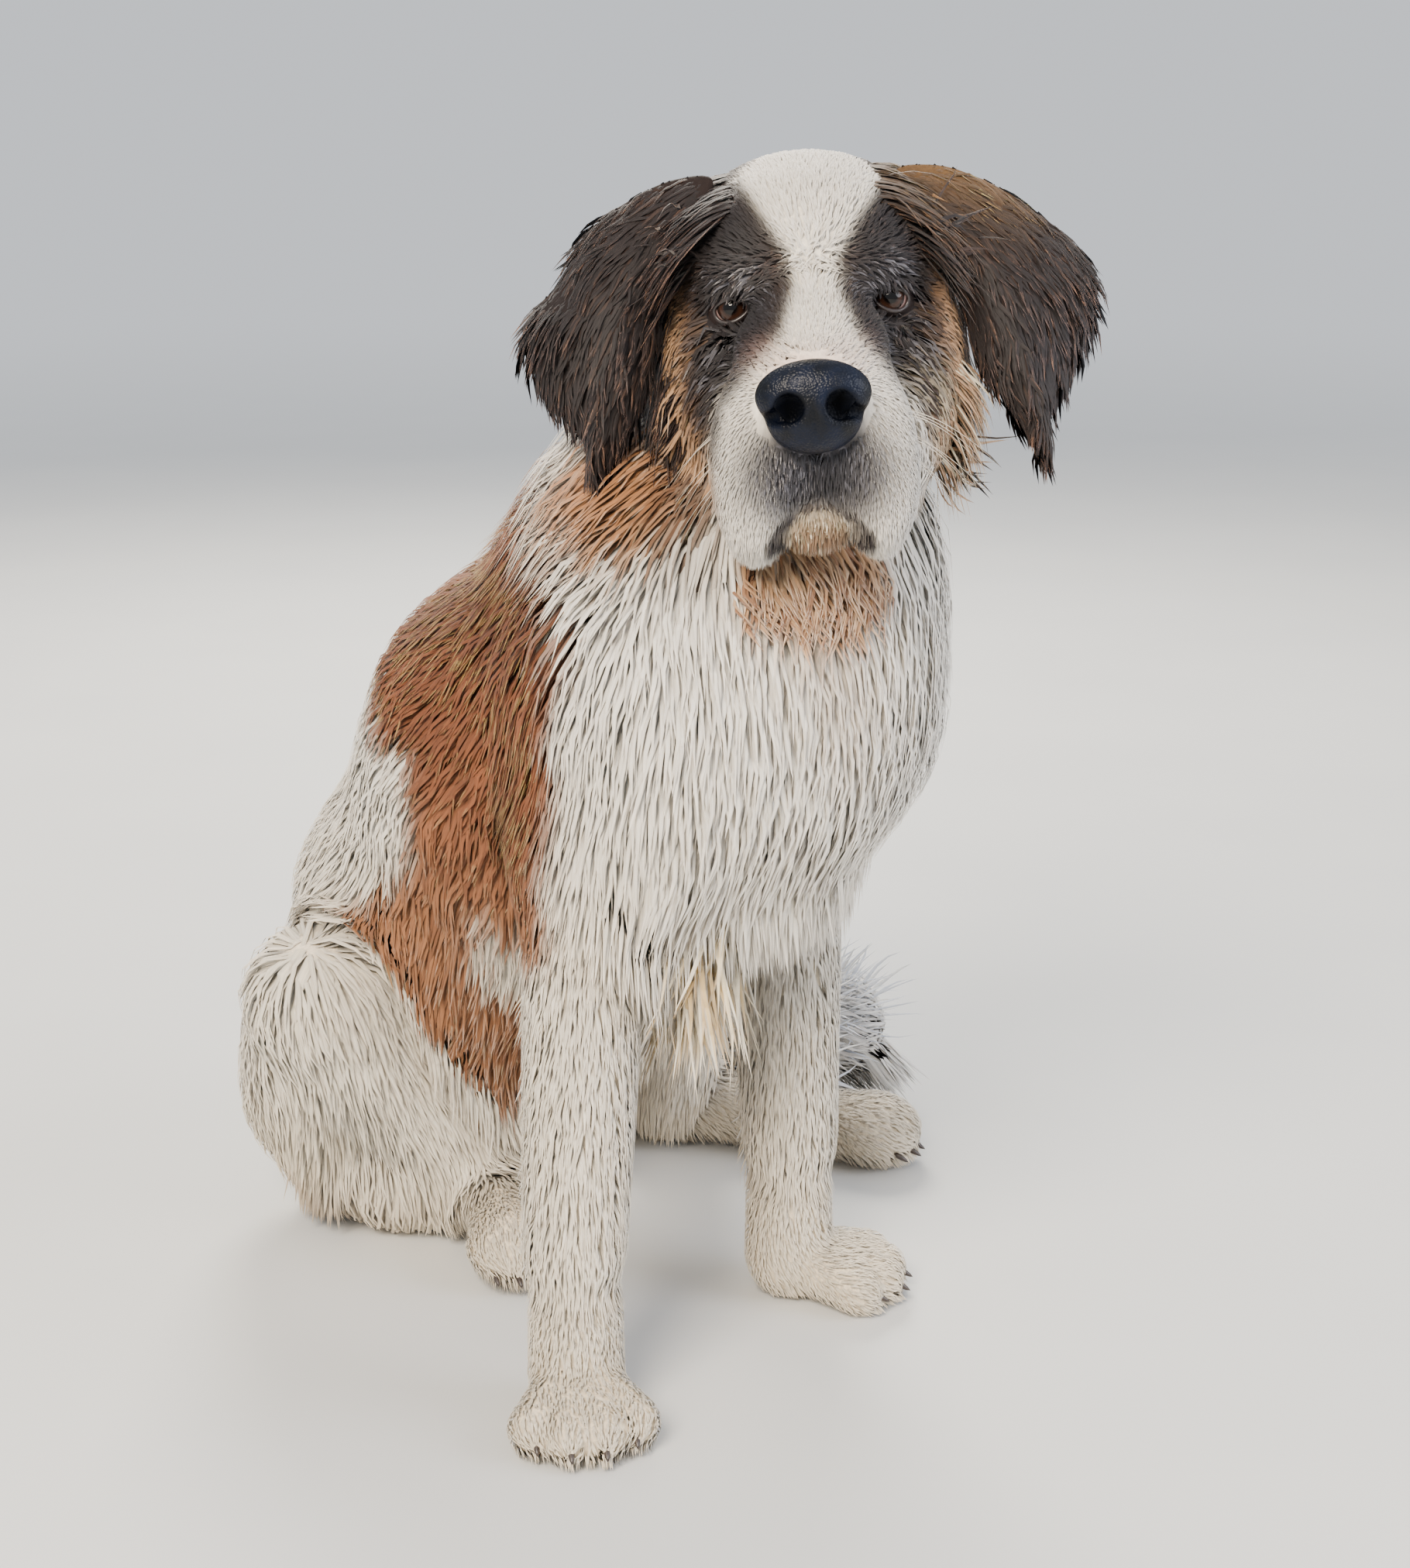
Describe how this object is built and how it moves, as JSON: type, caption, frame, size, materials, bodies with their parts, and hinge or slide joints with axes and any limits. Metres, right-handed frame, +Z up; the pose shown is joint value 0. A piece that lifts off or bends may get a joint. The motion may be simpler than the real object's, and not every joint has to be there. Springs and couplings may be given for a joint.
{
  "type": "long-haired saint bernard, sitting, life-size still model",
  "caption": "Still, life-size model of a long-haired Saint Bernard sitting on the floor with its head turned to its right.",
  "frame": {"origin": "on the floor under the middle of the dog's bounding box", "axes": "+Z up, -Y the way the chest faces, +X the dog's left side"},
  "size_m": [0.6814, 0.782, 0.8616],
  "materials": {
    "head_coat": "short dense fur, white blaze and muzzle, dark masks",
    "nose_leather": "moist pebbled nose leather",
    "eye": "wet brown eye",
    "dark_coat": "soft wavy dark brown fur",
    "white_coat": "long cream white coat",
    "rust_coat": "long wavy rust brown coat"
  },
  "bodies": {
    "root": {"head": "head_coat", "jaw": "head_coat", "nose": "nose_leather", "eye_right": "eye", "eye_left": "eye", "ear_right": "dark_coat", "ear_left": "dark_coat", "neck": "white_coat", "chest": "white_coat", "rump": "rust_coat", "foreleg_right": "white_coat", "foreleg_left": "white_coat", "forepaw_right": "white_coat", "forepaw_left": "white_coat", "thigh_right": "white_coat", "thigh_left": "white_coat", "shank_right": "white_coat", "shank_left": "white_coat", "hind_foot_right": "white_coat", "hind_foot_left": "white_coat", "tail": "white_coat"}
  },
  "joints": []
}
